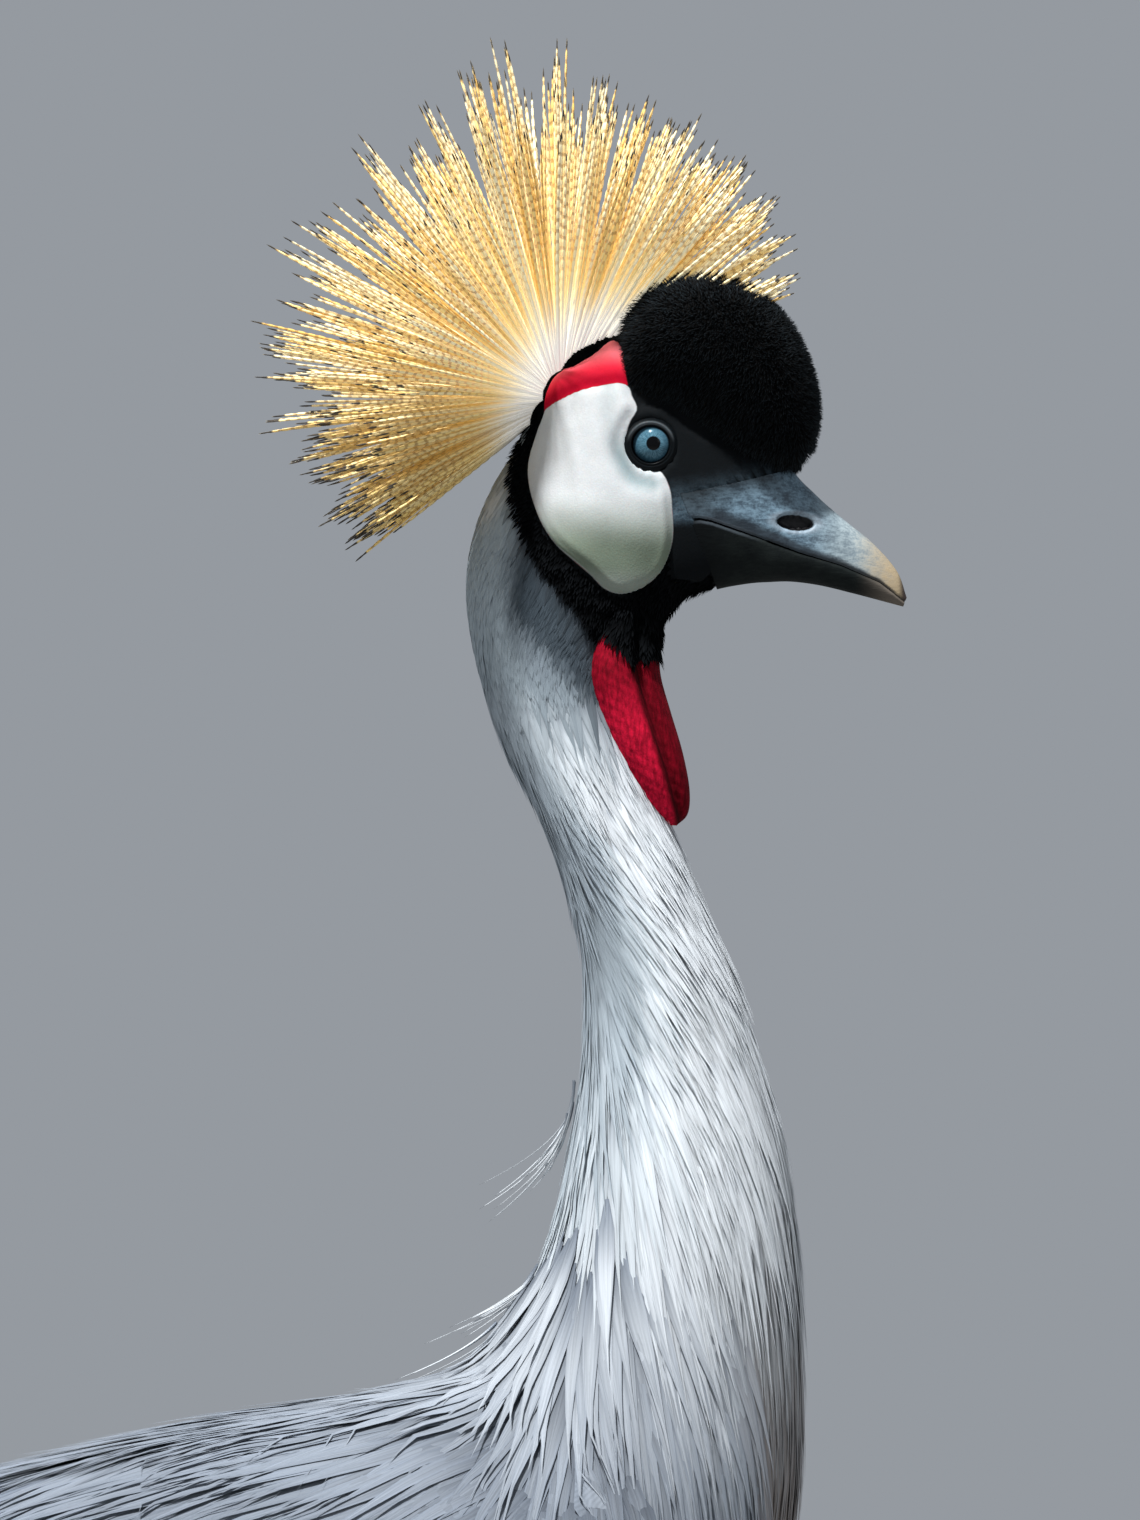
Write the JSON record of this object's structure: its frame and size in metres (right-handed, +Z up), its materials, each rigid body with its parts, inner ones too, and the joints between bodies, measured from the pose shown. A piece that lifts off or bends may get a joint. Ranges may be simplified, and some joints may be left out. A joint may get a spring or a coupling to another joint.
{
  "type": "grey crowned crane model",
  "caption": "Life-size still model of a standing grey crowned crane: grey body, white and chestnut wings, golden bristle crest, black cap, white cheek and red wattle.",
  "frame": {"origin": "middle of the bird's bounding box, at the level of its soles", "axes": "+X towards the bill, +Y to the bird's left, +Z up; the bird stands on the plane Z = 0"},
  "size_m": [0.5518, 0.206, 1.0779],
  "materials": {
    "slate_feathers": "soft matt slate-grey contour feathers",
    "grey_feathers": "soft matt pale grey hackles with darker shafts",
    "black_down": "short black down and bare black lores",
    "black_velvet": "dense black plush feathers",
    "white_skin": "smooth bare white skin",
    "red_skin": "smooth bare red skin",
    "wattle_skin": "finely wrinkled crimson skin",
    "grey_horn": "mottled slate horn, pale towards the tip",
    "dark_horn": "blackish horn",
    "eye": "wet glossy pale blue eye",
    "crest_bristles": "stiff golden bristles with dark tips",
    "white_feathers": "soft white wing coverts",
    "straw_feathers": "loose straw-coloured plumes",
    "chestnut_feathers": "chestnut flight feathers",
    "black_feathers": "black flight and tail feathers",
    "leg_scales": "black scutes and small scales"
  },
  "bodies": {
    "root": {"trunk": "slate_feathers", "neck_lower": "grey_feathers", "neck_middle": "grey_feathers", "neck_upper": "grey_feathers", "head": "black_down", "cheek_left": "white_skin", "cheek_right": "white_skin", "red_patch_left": "red_skin", "red_patch_right": "red_skin", "eye_left": "eye", "eye_right": "eye", "bill_upper": "grey_horn", "bill_lower": "dark_horn", "wattle": "wattle_skin", "cap": "black_velvet", "crest": "crest_bristles", "wing_coverts_left": "white_feathers", "wing_coverts_right": "white_feathers", "wing_plumes_left": "straw_feathers", "wing_plumes_right": "straw_feathers", "wing_secondaries_left": "chestnut_feathers", "wing_secondaries_right": "chestnut_feathers", "wing_primaries_left": "black_feathers", "wing_primaries_right": "black_feathers", "tail": "black_feathers", "thigh_left": "slate_feathers", "shank_left": "leg_scales", "toe_left_inner": "leg_scales", "claw_left_inner": "dark_horn", "toe_left_middle": "leg_scales", "claw_left_middle": "dark_horn", "toe_left_outer": "leg_scales", "claw_left_outer": "dark_horn", "toe_left_hind": "leg_scales", "claw_left_hind": "dark_horn", "tarsus_left": "leg_scales", "thigh_right": "slate_feathers", "shank_right": "leg_scales", "toe_right_inner": "leg_scales", "claw_right_inner": "dark_horn", "toe_right_middle": "leg_scales", "claw_right_middle": "dark_horn", "toe_right_outer": "leg_scales", "claw_right_outer": "dark_horn", "toe_right_hind": "leg_scales", "claw_right_hind": "dark_horn", "tarsus_right": "leg_scales"}
  },
  "joints": []
}
